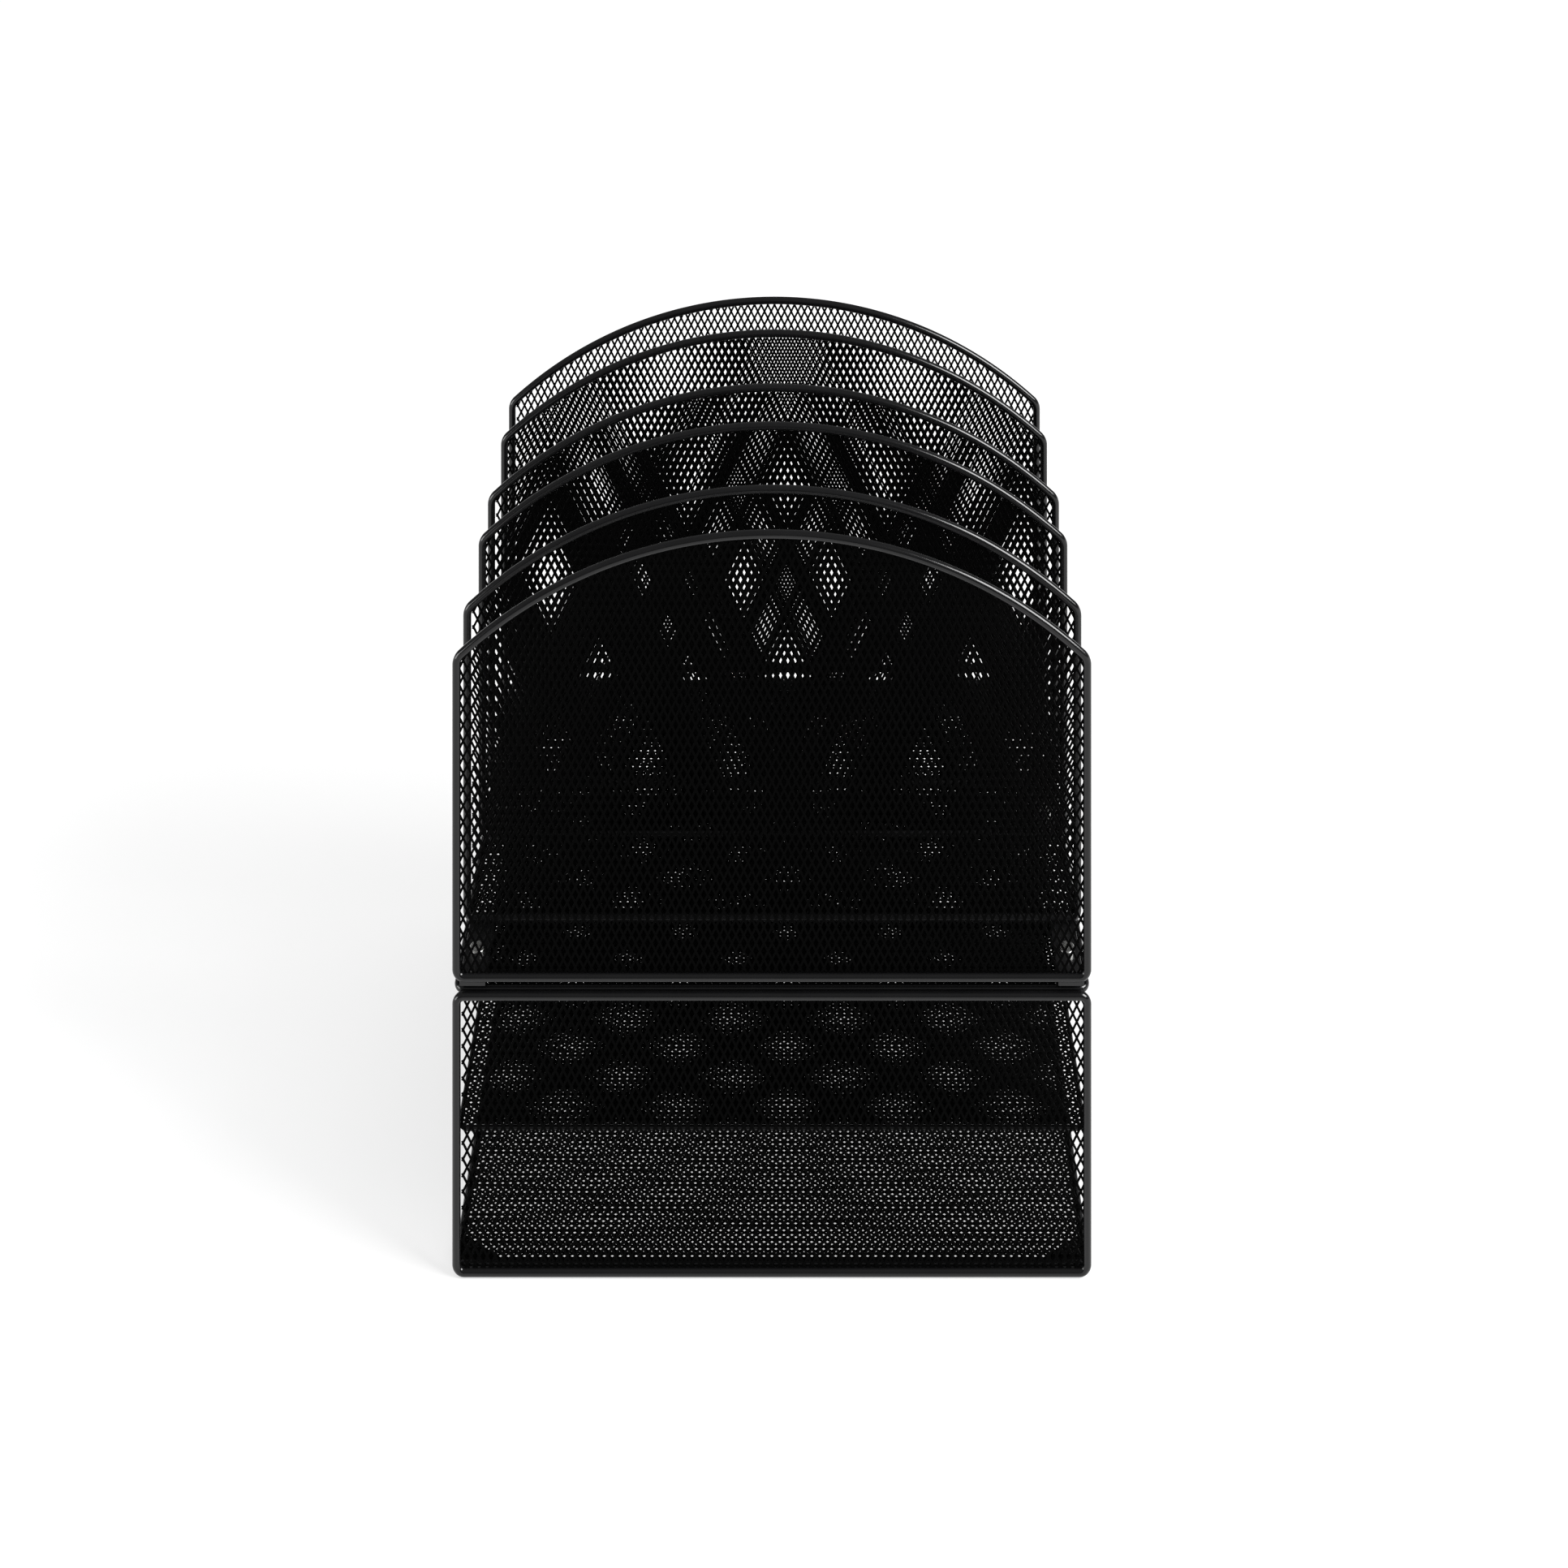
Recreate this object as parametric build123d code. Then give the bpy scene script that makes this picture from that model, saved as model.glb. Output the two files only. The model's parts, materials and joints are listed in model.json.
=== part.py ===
"""Desk organizer in black wire and expanded-metal mesh, in millimetres.

A two-level tray box, open at both ends, carries an upright sorter of six arched dividers. The dividers stand in
close pairs, each pair welded to two joining plates, and the plates are bolted to the roof mesh of the tray box.

+X runs along the dividers, +Y goes from the front panel to the back panel, +Z is up, and the origin is on the desk
under the middle of the object. Mesh sheets are plain thin sheets here.
"""
import os

from build123d import *

# Overall sizes
LENGTH = 320.0            # along X, outside of the end wires
BOX_HEIGHT = 142.4        # tray box, outside of its wires
DIVIDER_HEIGHT = 225.9    # bottom wire to crown, outside
NARROW_PITCH = 36.6       # divider to divider within a pair
WIDE_PITCH = 56.0         # divider to divider between pairs
PAIR_COUNT = 3

# Wires, by diameter and by bend radius on the centreline
WIRE = 4.2
SHELF_WIRE = 2.6
CORNER_BEND = 4.0
SHOULDER_BEND = 7.4
SHELF_BEND = 4.0
ARCH_RADIUS = 232.0

# Sheets, shelf and pads
MESH_THICKNESS = 0.4
SHELF_LEVEL = 72.7        # centre of the shelf wire above the desk
SHELF_END_GAP = 2.2       # shelf wire inside the ends of the box
PAD_LENGTH = 16.0         # leg of the triangle along X
PAD_DEPTH = 10.0          # leg of the triangle along Y

# Joining plates and their fasteners
PLATE_WIDTH = 13.0
PLATE_THICKNESS = 2.5
PLATE_EDGE = 0.4          # rounding of the plate's long edges
PLATE_END_GAP = 3.5       # plate inside the ends of the box
SPACER_HEIGHT = 2.3
SPACER_DIAMETER = 9.0
SCREW_SHANK = 4.0
SCREW_HEAD = 8.0
SCREW_HEAD_HEIGHT = 2.4
SCREW_HEAD_EDGE = 0.7     # rounding of the head's rim
SCREW_PAST_NUT = 1.0
RECESS_LENGTH = 4.4
RECESS_WIDTH = 0.9
RECESS_DEPTH = 1.3
HOLE_CLEARANCE = 0.15     # between shank and hole, on the radius
WASHER_DIAMETER = 9.0
WASHER_THICKNESS = 0.8
NUT_FLATS = 7.0
NUT_HEIGHT = 3.2

# Levels and places that follow from the sizes
wire_radius = WIRE / 2
box_top = BOX_HEIGHT
roof_top = box_top + MESH_THICKNESS
plate_bottom = roof_top + SPACER_HEIGHT
plate_top = plate_bottom + PLATE_THICKNESS
divider_bottom = plate_top
divider_top = divider_bottom + DIVIDER_HEIGHT
end_wire_x = LENGTH / 2 - wire_radius

divider_y = [0.0]
for gap in range(2 * PAIR_COUNT - 1):
    pitch = NARROW_PITCH if gap % 2 == 0 else WIDE_PITCH
    divider_y.append(divider_y[-1] + pitch)
half_span = divider_y[-1] / 2
divider_y = [y - half_span for y in divider_y]

pair_y = [(divider_y[2 * pair] + divider_y[2 * pair + 1]) / 2 for pair in range(PAIR_COUNT)]
plate_x = LENGTH / 2 - PLATE_END_GAP - PLATE_WIDTH / 2
screw_places = [(side * plate_x, y) for y in pair_y for side in (-1, 1)]
hole_radius = SCREW_SHANK / 2 + HOLE_CLEARANCE


def upright(y):
    """The XZ plane at the given Y, with local X along +X and local Y up."""
    return Plane(origin=(0, y, 0), x_dir=(1, 0, 0), z_dir=(0, -1, 0))


def bend_wire(outline, diameter):
    """A round wire whose centreline is the edge of the outline."""
    path = outline.wire()
    start = Plane(origin=path @ 0, z_dir=path % 0)
    return sweep(start * Circle(diameter / 2), path=path)


def panel_outline(y, inset):
    """The tray box's panel in the upright plane at y, inset from the wire's centreline."""
    width = 2 * (end_wire_x - inset)
    height = BOX_HEIGHT - WIRE - 2 * inset
    middle = Pos(0, BOX_HEIGHT / 2)
    return upright(y) * middle * RectangleRounded(width, height, CORNER_BEND - inset)


def level_outline(z, half_length, half_depth, bend):
    """A rounded rectangle in the level plane at z."""
    return Pos(0, 0, z) * RectangleRounded(2 * half_length, 2 * half_depth, bend)


def divider_outline(y, inset):
    """A divider's arched shape in the upright plane at y, inset from the wire's centreline."""
    low = divider_bottom + wire_radius + inset
    crown = divider_top - wire_radius - inset
    radius = ARCH_RADIUS - inset
    box = Pos(0, (low + crown) / 2) * Rectangle(2 * (end_wire_x - inset), crown - low)
    shape = box & Pos(0, crown - radius) * Circle(radius)
    corners = shape.vertices().sort_by(Axis.Y)
    shape = fillet(corners[:2], CORNER_BEND - inset)
    shoulders = shape.vertices().sort_by(Axis.Y)[-2:]
    shape = fillet(shoulders, SHOULDER_BEND - inset)
    return upright(y) * shape


def sheet_about(outline):
    """A mesh sheet centred on the plane of its outline."""
    return extrude(outline, MESH_THICKNESS / 2, both=True)


def sheet_above(outline):
    """A mesh sheet that lies on the level plane of its outline."""
    return extrude(outline, MESH_THICKNESS, dir=(0, 0, 1))


def lower_panel(y):
    """Wire loop and mesh of the front or back panel."""
    frame = bend_wire(panel_outline(y, 0), WIRE)
    mesh = sheet_about(panel_outline(y, wire_radius))
    return frame, mesh


def level_frame(wire_bottom):
    """A level wire loop held between the panels, and the mesh sheet that lies on it."""
    half_depth = half_span - WIRE
    frame = bend_wire(level_outline(wire_bottom + wire_radius, end_wire_x, half_depth, CORNER_BEND), WIRE)
    mesh = sheet_above(level_outline(wire_bottom + WIRE, end_wire_x, half_depth, CORNER_BEND))
    return frame, mesh


def shelf():
    """Thin wire loop of the shelf, welded to the panel meshes, and its mesh sheet."""
    half_length = LENGTH / 2 - SHELF_END_GAP - SHELF_WIRE / 2
    half_depth = half_span - MESH_THICKNESS / 2 - SHELF_WIRE / 2
    frame = bend_wire(level_outline(SHELF_LEVEL, half_length, half_depth, SHELF_BEND), SHELF_WIRE)
    mesh = sheet_above(level_outline(SHELF_LEVEL + SHELF_WIRE / 2, half_length, half_depth, SHELF_BEND))
    return frame, mesh


def divider(y):
    """Wire loop and mesh of one arched divider."""
    frame = bend_wire(divider_outline(y, 0), WIRE)
    mesh = sheet_about(divider_outline(y, wire_radius))
    return frame, mesh


def joining_plate(x, y):
    """Flat bar under the bottom wires of a pair, from wire centre to wire centre, with its screw hole."""
    bar = Box(PLATE_WIDTH, NARROW_PITCH, PLATE_THICKNESS)
    bar = fillet(bar.edges().filter_by(Axis.Y), PLATE_EDGE)
    hole = Cylinder(hole_radius, PLATE_THICKNESS)
    return Pos(x, y, (plate_bottom + plate_top) / 2) * (bar - hole)


def corner_pads():
    """Triangular pads that fill the corners of the bottom frame, level with its wire."""
    inner_x = end_wire_x - wire_radius
    inner_y = half_span - WIRE - wire_radius
    triangle = make_face(Polyline((0, 0), (-PAD_LENGTH, 0), (0, -PAD_DEPTH), close=True))
    square_corner = triangle.vertices().sort_by_distance((0, 0))[0]
    triangle = fillet(square_corner, CORNER_BEND - wire_radius)
    pad = Pos(inner_x, inner_y) * extrude(triangle, WIRE)
    right_pads = [pad, mirror(pad, about=Plane.XZ)]
    left_pads = [mirror(one, about=Plane.YZ) for one in right_pads]
    return Compound(right_pads + left_pads)


def screw():
    """Pan-head screw with a cross recess. Its seat is at z = 0 and its shank points down."""
    length = plate_top - box_top + WASHER_THICKNESS + NUT_HEIGHT + SCREW_PAST_NUT
    head = Pos(0, 0, SCREW_HEAD_HEIGHT / 2) * Cylinder(SCREW_HEAD / 2, SCREW_HEAD_HEIGHT)
    rim = head.edges().filter_by(GeomType.CIRCLE).sort_by(Axis.Z)[-1]
    head = fillet(rim, SCREW_HEAD_EDGE)
    shank = Pos(0, 0, -length / 2) * Cylinder(SCREW_SHANK / 2, length)
    slot = Pos(0, 0, SCREW_HEAD_HEIGHT - RECESS_DEPTH / 2) * Box(RECESS_LENGTH, RECESS_WIDTH, RECESS_DEPTH)
    return head + shank - slot - Rot(0, 0, 90) * slot


def ring(diameter, height):
    """Flat round piece with the screw's clearance hole, standing on z = 0."""
    return Pos(0, 0, height / 2) * (Cylinder(diameter / 2, height) - Cylinder(hole_radius, height))


def nut():
    """Hexagon nut that grips the shank, hanging below z = 0."""
    hexagon = extrude(RegularPolygon(NUT_FLATS / 2, 6, major_radius=False), -NUT_HEIGHT)
    return hexagon - Pos(0, 0, -NUT_HEIGHT / 2) * Cylinder(SCREW_SHANK / 2, NUT_HEIGHT)


def at_screws(piece, z):
    """Six copies of a piece, one at each screw."""
    return Compound([Pos(x, y, z) * piece for x, y in screw_places])


nodes = {}
nodes["lower_front_frame"], nodes["lower_front_mesh"] = lower_panel(-half_span)
nodes["lower_back_frame"], nodes["lower_back_mesh"] = lower_panel(half_span)
nodes["bottom_frame"], nodes["floor_mesh"] = level_frame(0)
nodes["shelf_frame"], nodes["shelf_mesh"] = shelf()
nodes["top_frame"], roof = level_frame(BOX_HEIGHT - WIRE)

for x, y in screw_places:
    roof -= Pos(x, y, box_top) * Cylinder(hole_radius, 4 * MESH_THICKNESS)
nodes["roof_mesh"] = roof

for number, y in enumerate(divider_y, start=1):
    nodes[f"divider_{number}_frame"], nodes[f"divider_{number}_mesh"] = divider(y)

for pair, y in zip(("front", "middle", "back"), pair_y):
    nodes[f"plate_{pair}_left"] = joining_plate(-plate_x, y)
    nodes[f"plate_{pair}_right"] = joining_plate(plate_x, y)

nodes["corner_pads"] = corner_pads()
nodes["screws"] = at_screws(screw(), plate_top)
nodes["spacers"] = at_screws(ring(SPACER_DIAMETER, SPACER_HEIGHT), roof_top)
nodes["washers"] = at_screws(ring(WASHER_DIAMETER, WASHER_THICKNESS), box_top - WASHER_THICKNESS)
nodes["nuts"] = at_screws(nut(), box_top - WASHER_THICKNESS)

os.makedirs("parts", exist_ok=True)
for name, piece in nodes.items():
    export_step(piece, f"parts/{name}.step")
    print(f"{name}: {piece.volume:.1f} mm3")
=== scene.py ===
"""Desk organizer in black wire and diamond mesh: surfaces, finishes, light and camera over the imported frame.

Everything is in metres, in the frame of the CAD model. Wires are round tubes carried along convex loops, and each
mesh sheet is two families of straight strands clipped to its outline, with a raised knuckle at every crossing.
"""
import json

import bpy
import numpy as np
from mathutils import Matrix, Vector


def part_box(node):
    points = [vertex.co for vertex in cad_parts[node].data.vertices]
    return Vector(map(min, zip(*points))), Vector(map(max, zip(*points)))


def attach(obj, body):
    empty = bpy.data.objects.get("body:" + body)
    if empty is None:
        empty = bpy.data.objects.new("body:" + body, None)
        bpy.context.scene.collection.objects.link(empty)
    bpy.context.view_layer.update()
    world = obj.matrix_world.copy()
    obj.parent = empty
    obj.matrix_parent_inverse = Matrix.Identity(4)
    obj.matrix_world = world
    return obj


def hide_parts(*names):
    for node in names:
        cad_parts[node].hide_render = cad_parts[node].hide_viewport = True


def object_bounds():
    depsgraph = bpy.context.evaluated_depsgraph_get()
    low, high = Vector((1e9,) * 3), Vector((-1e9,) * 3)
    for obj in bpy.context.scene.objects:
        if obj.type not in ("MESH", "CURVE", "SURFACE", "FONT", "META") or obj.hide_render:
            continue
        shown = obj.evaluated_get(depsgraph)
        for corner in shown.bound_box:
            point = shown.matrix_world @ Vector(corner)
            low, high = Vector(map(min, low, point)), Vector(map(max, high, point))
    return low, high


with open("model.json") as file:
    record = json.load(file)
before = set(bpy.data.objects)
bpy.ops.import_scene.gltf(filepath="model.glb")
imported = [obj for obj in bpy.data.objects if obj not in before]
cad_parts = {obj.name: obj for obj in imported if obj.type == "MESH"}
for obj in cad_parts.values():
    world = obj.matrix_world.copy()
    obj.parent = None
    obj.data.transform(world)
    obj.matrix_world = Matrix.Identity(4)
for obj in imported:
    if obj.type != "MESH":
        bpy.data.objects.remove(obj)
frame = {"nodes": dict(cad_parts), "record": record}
cad_low, cad_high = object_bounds()

MM = 0.001

# Bends of the wires, on the centreline
CORNER_BEND = 4.0 * MM
SHOULDER_BEND = 7.4 * MM
SHELF_BEND = 4.0 * MM
ARCH_RADIUS = 232.0 * MM
SHORTEST_RUN = 0.01 * MM          # below this, two arcs share their end
GUARD_STEP = 0.4 * MM             # from the end of a straight run to its guard point

# Diamond mesh: size of a cell across and along, width of a strand, and a place where two strands cross
SHEET_THICKNESS = 0.4 * MM
UPRIGHT_CELL = (4.017 * MM, 8.09 * MM)
UPRIGHT_STRAND = 1.12 * MM
PANEL_NODE = (-154.6 * MM, 131.17 * MM)
DIVIDER_NODE = (-154.6 * MM, 227.2 * MM)
SHORT_SHEET_START = 4.95 * MM     # left edge of a short sheet, inside the end of the box
LEVEL_CELL = (4.017 * MM, 2.46 * MM)
LEVEL_STRAND = 1.03 * MM
LEVEL_NODES = {"floor_mesh": (0.0, -0.69 * MM), "shelf_mesh": (0.0, 0.29 * MM), "roof_mesh": (0.0, 0.0)}

DIVIDERS = 6

# Floor, lights and room
FLOOR_SIZE = 16.0
FLOOR_GREY = 0.3
FLOOR_GLOW = 0.59
KEY_LIGHT = dict(place=(2.25, -0.84, 1.9), size=1.5, power=160)
FILL_LIGHT = dict(place=(-2.3, -0.8, 0.35), size=1.2, power=38)
ROOM_BRIGHTNESS = 1.1
GLOSS_BRIGHTNESS = 0.28

# Camera
CAMERA_PLACE = (0.0076, -1.2013, 1.0635)
CAMERA_SIGHT = (-0.0037, 2.683, -2.011)
CAMERA_LENS = 62.48


# ---------------------------------------------------------------- surfaces

def arc(centre, radius, start, end, steps):
    """Points and outward normals of an arc: centre plus radius times the direction at each angle, in degrees."""
    angle = np.radians(np.linspace(start, end, steps + 1))
    normal = np.stack([np.cos(angle), np.sin(angle)], axis=1)
    return np.asarray(centre) + radius * normal, normal


def chain(arcs):
    """A convex loop as its arcs in anticlockwise order.

    The end that two tangent arcs share is kept once. A straight run gets one more point just inside each of its
    ends, so that it stays straight in smooth shading.
    """
    points, normals = [], []
    for (here, here_normals), (after, after_normals) in zip(arcs, arcs[1:] + arcs[:1]):
        run = after[0] - here[-1]
        length = np.linalg.norm(run)
        if length < SHORTEST_RUN:
            points.append(here[:-1])
            normals.append(here_normals[:-1])
        else:
            step = GUARD_STEP * run / length
            points += [here, here[-1:] + step, after[:1] - step]
            normals += [here_normals, here_normals[-1:], after_normals[:1]]
    return np.concatenate(points), np.concatenate(normals)


def rounded_loop(low, high, bend, steps=10):
    """Rectangle between two corners with a quarter arc of the bend radius at each corner."""
    (x0, y0), (x1, y1) = low, high
    return chain([
        arc((x1 - bend, y1 - bend), bend, 0, 90, steps),
        arc((x0 + bend, y1 - bend), bend, 90, 180, steps),
        arc((x0 + bend, y0 + bend), bend, 180, 270, steps),
        arc((x1 - bend, y0 + bend), bend, 270, 360, steps),
    ])


def arched_loop(low, high, steps=10, crown_steps=72):
    """Rectangle whose top is one arc, tangent to a shoulder arc at each side.

    A shoulder's centre is one bend inside the side, and its distance from the crown's centre is the crown's radius
    less the bend.
    """
    (x0, y0), (x1, y1) = low, high
    crown_centre = y1 - ARCH_RADIUS
    reach = x1 - SHOULDER_BEND
    shoulder_y = crown_centre + np.sqrt((ARCH_RADIUS - SHOULDER_BEND) ** 2 - reach ** 2)
    turn = np.degrees(np.arctan2(shoulder_y - crown_centre, reach))
    return chain([
        arc((reach, shoulder_y), SHOULDER_BEND, 0, turn, steps),
        arc((0, crown_centre), ARCH_RADIUS, turn, 180 - turn, crown_steps),
        arc((-reach, shoulder_y), SHOULDER_BEND, 180 - turn, 180, steps),
        arc((x0 + CORNER_BEND, y0 + CORNER_BEND), CORNER_BEND, 180, 270, steps),
        arc((x1 - CORNER_BEND, y0 + CORNER_BEND), CORNER_BEND, 270, 360, steps),
    ])


def upright(flat, depth, y):
    """Places flat points in the XZ plane at y, with depth measured along +Y."""
    return np.stack([flat[..., 0], y + depth, flat[..., 1]], axis=-1)


def level(flat, depth, z):
    """Places flat points in the XY plane at z, with depth measured along +Z."""
    return np.stack([flat[..., 0], flat[..., 1], z + depth], axis=-1)


def closed_grid(rows, columns):
    """Quads of a grid that closes both ways, as on a torus."""
    i, j = np.meshgrid(np.arange(rows), np.arange(columns), indexing="ij")
    k, l = (i + 1) % rows, (j + 1) % columns
    quads = np.stack([i * columns + j, k * columns + j, k * columns + l, i * columns + l], axis=-1)
    return quads.reshape(-1, 4)


def tube(loop, radius, place, at, around=24):
    """Round wire on a loop.

    Each point of the loop plus the radius times (cos a times the outward normal, sin a out of the plane).
    """
    points, normals = loop
    a = np.linspace(0, 2 * np.pi, around, endpoint=False)
    flat = points[:, None, :] + radius * np.cos(a)[None, :, None] * normals[:, None, :]
    depth = np.broadcast_to(radius * np.sin(a)[None, :], flat.shape[:2])
    vertices = place(flat, depth, at).reshape(-1, 3)
    return vertices, closed_grid(len(points), around)


def piece(name, vertices, faces, finish, replaced, smooth=False):
    """Makes the mesh object with its finish, hangs it on the root body, and hides the CAD node that it stands for.
    """
    mesh = bpy.data.meshes.new(name)
    mesh.from_pydata(vertices.tolist(), [], faces)
    if smooth:
        mesh.shade_smooth()
    obj = bpy.data.objects.new(name, mesh)
    bpy.context.scene.collection.objects.link(obj)
    obj.data.materials.append(finishes[finish])
    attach(obj, "root")
    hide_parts(replaced)
    return obj


def clip(origin, direction, low, high, crown=None):
    """Start and end, along each line, of its stretch inside the rectangle and, if given, the crown's circle."""
    with np.errstate(divide="ignore"):
        a = (np.asarray(low) - origin) / direction
        b = (np.asarray(high) - origin) / direction
    start = np.minimum(a, b).max(axis=1)
    end = np.maximum(a, b).min(axis=1)
    if crown is not None:
        centre, radius = crown
        offset = origin - np.asarray(centre)
        along = (offset * direction).sum(axis=1)
        inside = along ** 2 - (offset ** 2).sum(axis=1) + radius ** 2
        half = np.sqrt(np.maximum(inside, 0))
        start = np.where(inside > 0, np.maximum(start, -along - half), 0)
        end = np.where(inside > 0, np.minimum(end, -along + half), 0)
    return start, end


def strands(cell, slope, crossing, low, high, crown, width, thickness):
    """One family of straight strands, as chamfered bars.

    The lines are x / cell_x + slope * y / cell_y = whole number, counted from a crossing, and each bar is an
    eight-sided section carried from one end of its line to the other.
    """
    across, along = cell
    normal = np.array([1 / across, slope / along])
    spacing = 1 / np.linalg.norm(normal)
    normal = normal * spacing
    direction = np.array([-normal[1], normal[0]])
    corners = np.array([(x, y) for x in (low[0], high[0]) for y in (low[1], high[1])]) - crossing
    reach = corners @ normal / spacing
    count = np.arange(np.ceil(reach.min()), np.floor(reach.max()) + 1)
    origin = crossing + count[:, None] * spacing * normal
    start, end = clip(origin, np.broadcast_to(direction, origin.shape), low, high, crown)
    kept = end - start > width
    origin, start, end = origin[kept], start[kept], end[kept]

    w, t = width / 2, thickness / 2
    chamfer = 0.3 * t
    section = np.array([(-w, -t + chamfer), (-w + chamfer, -t), (w - chamfer, -t), (w, -t + chamfer),
                        (w, t - chamfer), (w - chamfer, t), (-w + chamfer, t), (-w, t - chamfer)])
    ends = np.stack([origin + start[:, None] * direction, origin + end[:, None] * direction], axis=1)
    flat = ends[:, :, None, :] + section[None, None, :, :1] * normal
    depth = np.broadcast_to(section[:, 1], flat.shape[:3])
    sides = [(i, (i + 1) % 8, 8 + (i + 1) % 8, 8 + i) for i in range(8)]
    lids = [(0, 3, 2, 1), (0, 7, 4, 3), (7, 6, 5, 4), (8, 9, 10, 11), (8, 11, 12, 15), (15, 12, 13, 14)]
    faces = np.array(sides + lids) + 16 * np.arange(len(ends))[:, None, None]
    return flat.reshape(-1, 2), depth.reshape(-1), faces.reshape(-1, 4)


def knuckles(cell, crossing, low, high, crown, width, height):
    """Low double pyramids where the two families cross: half-cell steps (i, j) from a crossing, with i + j even."""
    half_cell = np.asarray(cell) / 2
    first = np.ceil((low - crossing) / half_cell)
    last = np.floor((high - crossing) / half_cell)
    i, j = np.meshgrid(np.arange(first[0], last[0] + 1), np.arange(first[1], last[1] + 1), indexing="ij")
    even = (i + j) % 2 == 0
    centre = crossing + half_cell * np.stack([i[even], j[even]], axis=1)
    if crown is not None:
        centre = centre[np.linalg.norm(centre - np.asarray(crown[0]), axis=1) < crown[1]]
    a, b = width * half_cell / np.linalg.norm(half_cell)
    ring = np.array([(a, 0), (0, b), (-a, 0), (0, -b), (0, 0), (0, 0)])
    flat = centre[:, None, :] + ring
    depth = np.broadcast_to([0, 0, 0, 0, height, -height], flat.shape[:2])
    faces = np.array([(0, 1, 4), (1, 2, 4), (2, 3, 4), (3, 0, 4), (1, 0, 5), (2, 1, 5), (3, 2, 5), (0, 3, 5)])
    faces = faces + 6 * np.arange(len(centre))[:, None, None]
    return flat.reshape(-1, 2), depth.reshape(-1), faces.reshape(-1, 3)


def diamond_sheet(node, place, at, low, high, cell, crossing, width, crown=None):
    """Expanded-metal sheet: both strand families and the knuckles, in the plane that place and at give."""
    crossing = np.asarray(crossing)
    parts = [
        strands(cell, 1, crossing, low, high, crown, width, SHEET_THICKNESS),
        strands(cell, -1, crossing, low, high, crown, width, 0.9 * SHEET_THICKNESS),
        knuckles(cell, crossing, low, high, crown, 1.25 * width, 0.62 * SHEET_THICKNESS),
    ]
    vertices, faces, used = [], [], 0
    for flat, depth, polygons in parts:
        vertices.append(place(flat, depth, at))
        faces += (polygons + used).tolist()
        used += len(flat)
    return piece(node + "_diamonds", np.concatenate(vertices), faces, "mesh", node)


# ---------------------------------------------------------------- finishes

def coat_group():
    """Powder coat: fine orange peel as a normal, and slow changes of tint and roughness over the surface."""
    group = bpy.data.node_groups.new("powder_coat", "ShaderNodeTree")
    taken = {"Tint": "Color", "Unevenness": "Float", "Roughness": "Float",
             "Peel Scale": "Float", "Peel Height": "Float"}
    given_back = {"Color": "Color", "Roughness": "Float", "Normal": "Vector"}
    for side, sockets in (("INPUT", taken), ("OUTPUT", given_back)):
        for label, kind in sockets.items():
            group.interface.new_socket(label, in_out=side, socket_type="NodeSocket" + kind)
    nodes, link = group.nodes, group.links.new
    given = nodes.new("NodeGroupInput")
    result = nodes.new("NodeGroupOutput")
    place = nodes.new("ShaderNodeTexCoord")

    slow = nodes.new("ShaderNodeTexNoise")
    slow.inputs["Scale"].default_value = 55
    slow.inputs["Detail"].default_value = 4
    link(place.outputs["Object"], slow.inputs["Vector"])

    lift = nodes.new("ShaderNodeMath")
    lift.operation = "SUBTRACT"
    lift.inputs[1].default_value = 0.5
    link(slow.outputs["Fac"], lift.inputs[0])
    amount = nodes.new("ShaderNodeMath")
    amount.operation = "MULTIPLY"
    link(lift.outputs[0], amount.inputs[0])
    link(given.outputs["Unevenness"], amount.inputs[1])

    brighter = nodes.new("ShaderNodeMath")
    brighter.operation = "ADD"
    brighter.inputs[1].default_value = 1.0
    link(amount.outputs[0], brighter.inputs[0])
    tint = nodes.new("ShaderNodeVectorMath")
    tint.operation = "SCALE"
    link(given.outputs["Tint"], tint.inputs[0])
    link(brighter.outputs[0], tint.inputs["Scale"])
    link(tint.outputs[0], result.inputs["Color"])

    rough = nodes.new("ShaderNodeMath")
    rough.operation = "MULTIPLY"
    link(given.outputs["Roughness"], rough.inputs[0])
    link(brighter.outputs[0], rough.inputs[1])
    link(rough.outputs[0], result.inputs["Roughness"])

    peel = nodes.new("ShaderNodeTexNoise")
    peel.inputs["Detail"].default_value = 2
    link(place.outputs["Object"], peel.inputs["Vector"])
    link(given.outputs["Peel Scale"], peel.inputs["Scale"])
    bump = nodes.new("ShaderNodeBump")
    bump.inputs["Strength"].default_value = 1.0
    link(peel.outputs["Fac"], bump.inputs["Height"])
    link(given.outputs["Peel Height"], bump.inputs["Distance"])
    link(bump.outputs["Normal"], result.inputs["Normal"])
    return group


def plain(name, colour, roughness, specular, metallic=0.0):
    """A principled material with its constants on the shader's own sockets."""
    material = bpy.data.materials.new(name)
    material.use_nodes = True
    shader = material.node_tree.nodes["Principled BSDF"]
    shader.inputs["Base Color"].default_value = (*colour, 1)
    shader.inputs["Roughness"].default_value = roughness
    shader.inputs["Specular IOR Level"].default_value = specular
    shader.inputs["Metallic"].default_value = metallic
    return material


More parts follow.
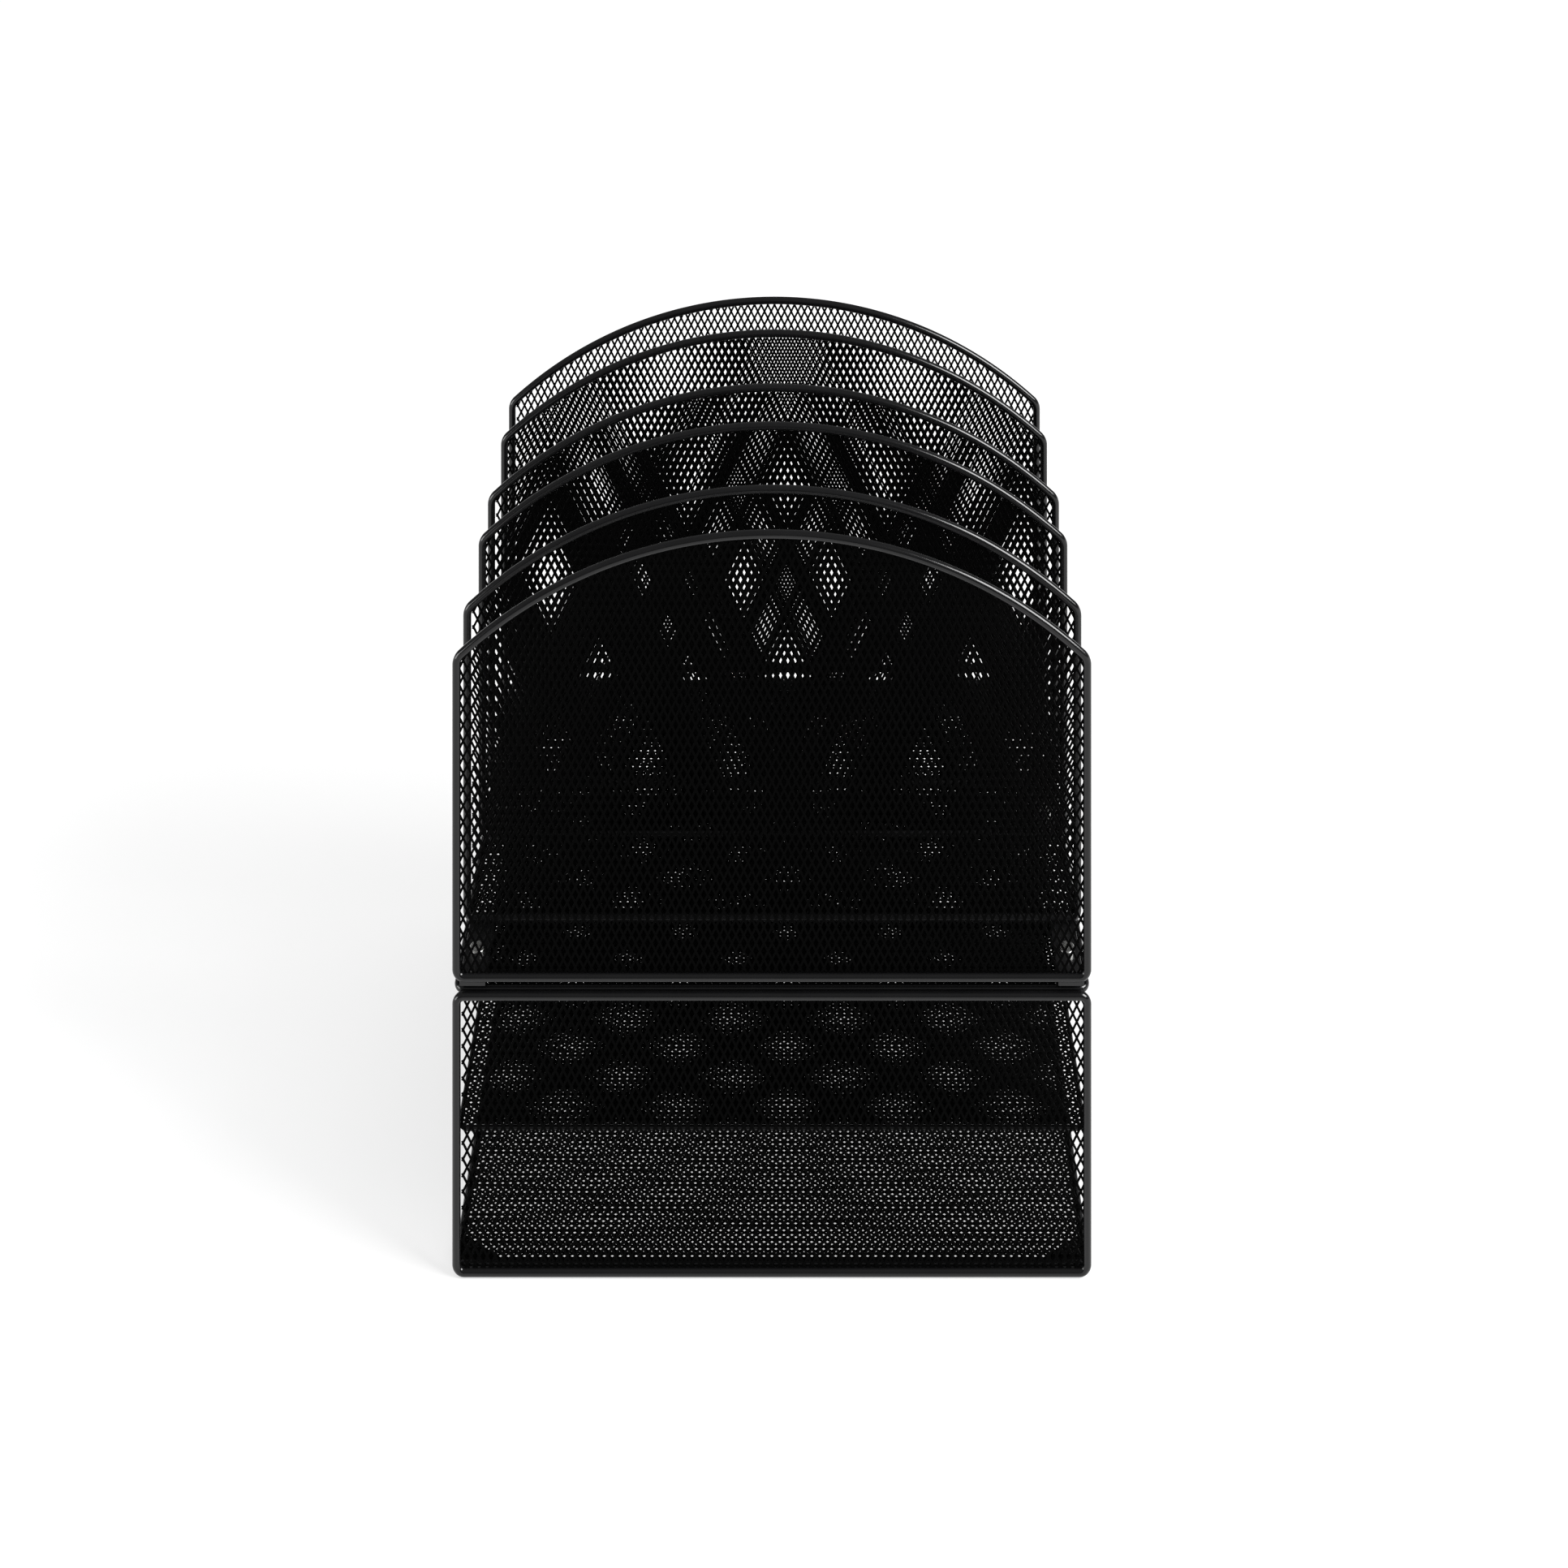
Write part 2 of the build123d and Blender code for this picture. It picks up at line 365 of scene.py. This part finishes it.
def coated(name, tint, roughness, specular, unevenness, peel_scale, peel_height, metallic=0.0):
    """A material whose colour, roughness and normal come from the powder coat group."""
    material = plain(name, tint, roughness, specular, metallic)
    tree = material.node_tree
    shader = tree.nodes["Principled BSDF"]
    group = tree.nodes.new("ShaderNodeGroup")
    group.node_tree = powder_coat
    group.inputs["Tint"].default_value = (*tint, 1)
    group.inputs["Unevenness"].default_value = unevenness
    group.inputs["Roughness"].default_value = roughness
    group.inputs["Peel Scale"].default_value = peel_scale
    group.inputs["Peel Height"].default_value = peel_height
    tree.links.new(group.outputs["Color"], shader.inputs["Base Color"])
    tree.links.new(group.outputs["Roughness"], shader.inputs["Roughness"])
    tree.links.new(group.outputs["Normal"], shader.inputs["Normal"])
    return material


powder_coat = coat_group()
finishes = {
    "wire": coated("black coat on wire", (0.003, 0.003, 0.0032), 0.16, 0.33, 0.5, 1100, 0.012 * MM),
    "mesh": coated("black coat on mesh", (0.0009, 0.0009, 0.0009), 0.45, 0.012, 0.6, 1500, 0.02 * MM),
    "plate": coated("black coat on plate", (0.004, 0.004, 0.0042), 0.28, 0.36, 0.5, 1100, 0.012 * MM),
    "pad": coated("pad rubber", (0.006, 0.006, 0.006), 0.7, 0.3, 0.7, 1800, 0.06 * MM),
    "spacer": coated("spacer rubber", (0.006, 0.006, 0.006), 0.7, 0.3, 0.7, 1800, 0.06 * MM),
    "screw_zinc": coated("zinc plate", (0.72, 0.72, 0.70), 0.22, 0.5, 0.4, 700, 0.01 * MM, 1.0),
}


# ---------------------------------------------------------------- pieces

def wire_loop(node, loop_of, place, axis):
    """Tube over a CAD frame: its centreline is one wire radius inside the frame's box."""
    low, high = map(np.array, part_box(node))
    radius = (high[axis] - low[axis]) / 2
    at = (high[axis] + low[axis]) / 2
    kept = [k for k in range(3) if k != axis]
    loop = loop_of((low + radius)[kept], (high - radius)[kept])
    vertices, faces = tube(loop, radius, place, at)
    if place is upright:
        faces = faces[:, ::-1]
    return piece(node.replace("frame", "wire"), vertices, faces.tolist(), "wire", node, smooth=True)


def upright_sheet(node, frame_node, arched, short):
    """Diamond mesh in the plane of an upright wire loop.

    Its strands run into the wire. A short sheet starts at a column of crossings, just beside the wire on its left.
    """
    low, high = map(np.array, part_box(frame_node))
    radius = (high[1] - low[1]) / 2
    at = (high[1] + low[1]) / 2
    inner_low, inner_high = (low + radius)[[0, 2]], (high - radius)[[0, 2]]
    if arched:
        crown, crossing = ((0, inner_high[1] - ARCH_RADIUS), ARCH_RADIUS), DIVIDER_NODE
    else:
        crown, crossing = None, PANEL_NODE
    if short:
        inner_low[0] = low[0] + SHORT_SHEET_START
    return diamond_sheet(node, upright, at, inner_low, inner_high,
                         UPRIGHT_CELL, crossing, UPRIGHT_STRAND, crown)


def level_sheet(node):
    """Diamond mesh that lies on a level wire loop."""
    low, high = map(np.array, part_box(node))
    at = (high[2] + low[2]) / 2
    return diamond_sheet(node, level, at, low[:2], high[:2], LEVEL_CELL, LEVEL_NODES[node], LEVEL_STRAND)


for side in ("front", "back"):
    wire_loop(f"lower_{side}_frame", lambda a, b: rounded_loop(a, b, CORNER_BEND), upright, 1)
    upright_sheet(f"lower_{side}_mesh", f"lower_{side}_frame", arched=False, short=True)

for number in range(1, DIVIDERS + 1):
    wire_loop(f"divider_{number}_frame", arched_loop, upright, 1)
    upright_sheet(f"divider_{number}_mesh", f"divider_{number}_frame", arched=True, short=number % 2 == 0)

for node, bend in (("bottom_frame", CORNER_BEND), ("top_frame", CORNER_BEND), ("shelf_frame", SHELF_BEND)):
    wire_loop(node, lambda a, b: rounded_loop(a, b, bend), level, 2)

for node in ("floor_mesh", "roof_mesh", "shelf_mesh"):
    level_sheet(node)

for part in frame["record"]["subparts"]:
    node = frame["nodes"][part["node"]]
    for slot in node.material_slots:
        slot.material = finishes[part["material_slot"]]


# ---------------------------------------------------------------- floor, light and camera

def area_light(name, place, aim, size, power):
    """Square soft box that faces its aim point and is not seen itself."""
    data = bpy.data.lights.new(name, "AREA")
    data.size = size
    data.energy = power
    light = bpy.data.objects.new(name, data)
    light.location = place
    light.visible_camera = False
    light.rotation_euler = (Vector(aim) - Vector(place)).to_track_quat("-Z", "Y").to_euler()
    bpy.context.scene.collection.objects.link(light)


floor_mesh = bpy.data.meshes.new("floor")
half = FLOOR_SIZE / 2
floor_corners = [(-half, -half, 0), (half, -half, 0), (half, half, 0), (-half, half, 0)]
floor_mesh.from_pydata(floor_corners, [], [(0, 1, 2, 3)])
floor = bpy.data.objects.new("floor", floor_mesh)
bpy.context.scene.collection.objects.link(floor)
floor_white = plain("floor white", (FLOOR_GREY,) * 3, 0.9, 0.0)
floor_shader = floor_white.node_tree.nodes["Principled BSDF"]
floor_shader.inputs["Emission Color"].default_value = (1, 1, 1, 1)
floor_shader.inputs["Emission Strength"].default_value = FLOOR_GLOW
floor_mesh.materials.append(floor_white)

middle = (cad_low + cad_high) / 2
area_light("key", aim=middle, **KEY_LIGHT)
area_light("fill", aim=middle, **FILL_LIGHT)


def studio_world(room, glow):
    """White room for soft light and for the view, and a dimmer one for gloss, darkest at eye level."""
    world = bpy.data.worlds.new("studio")
    world.use_nodes = True
    nodes, link = world.node_tree.nodes, world.node_tree.links.new
    background = nodes["Background"]
    background.inputs["Color"].default_value = (1, 1, 1, 1)
    rays = nodes.new("ShaderNodeLightPath")
    place = nodes.new("ShaderNodeTexCoord")
    split = nodes.new("ShaderNodeSeparateXYZ")
    link(place.outputs["Generated"], split.inputs[0])
    dim = nodes.new("ShaderNodeMapRange")
    dim.inputs["From Max"].default_value = 0.5
    dim.inputs["To Min"].default_value = 0.25 * glow
    dim.inputs["To Max"].default_value = glow
    link(split.outputs["Z"], dim.inputs["Value"])
    choose = nodes.new("ShaderNodeMix")
    choose.inputs["A"].default_value = room
    link(rays.outputs["Is Glossy Ray"], choose.inputs["Factor"])
    link(dim.outputs["Result"], choose.inputs["B"])
    link(choose.outputs["Result"], background.inputs["Strength"])
    return world


def upright_film_camera(place, sight, lens):
    """Camera whose film stays in the XZ plane while it looks along sight, so that uprights stay parallel."""
    rig = bpy.data.objects.new("camera_rig", None)
    bpy.context.scene.collection.objects.link(rig)
    camera = bpy.data.objects.new("camera", bpy.data.cameras.new("camera"))
    bpy.context.scene.collection.objects.link(camera)
    camera.data.lens = lens
    back = -Vector(sight).normalized()
    columns = Matrix(((1, 0, 0), (0, 0, 1), back)).transposed()
    camera.parent = rig
    camera.matrix_parent_inverse = Matrix.Translation(place) @ columns.to_4x4()
    return camera


scene = bpy.context.scene
scene.world = studio_world(ROOM_BRIGHTNESS, GLOSS_BRIGHTNESS)
scene.camera = upright_film_camera(CAMERA_PLACE, CAMERA_SIGHT, CAMERA_LENS)
scene.view_settings.view_transform = "Standard"
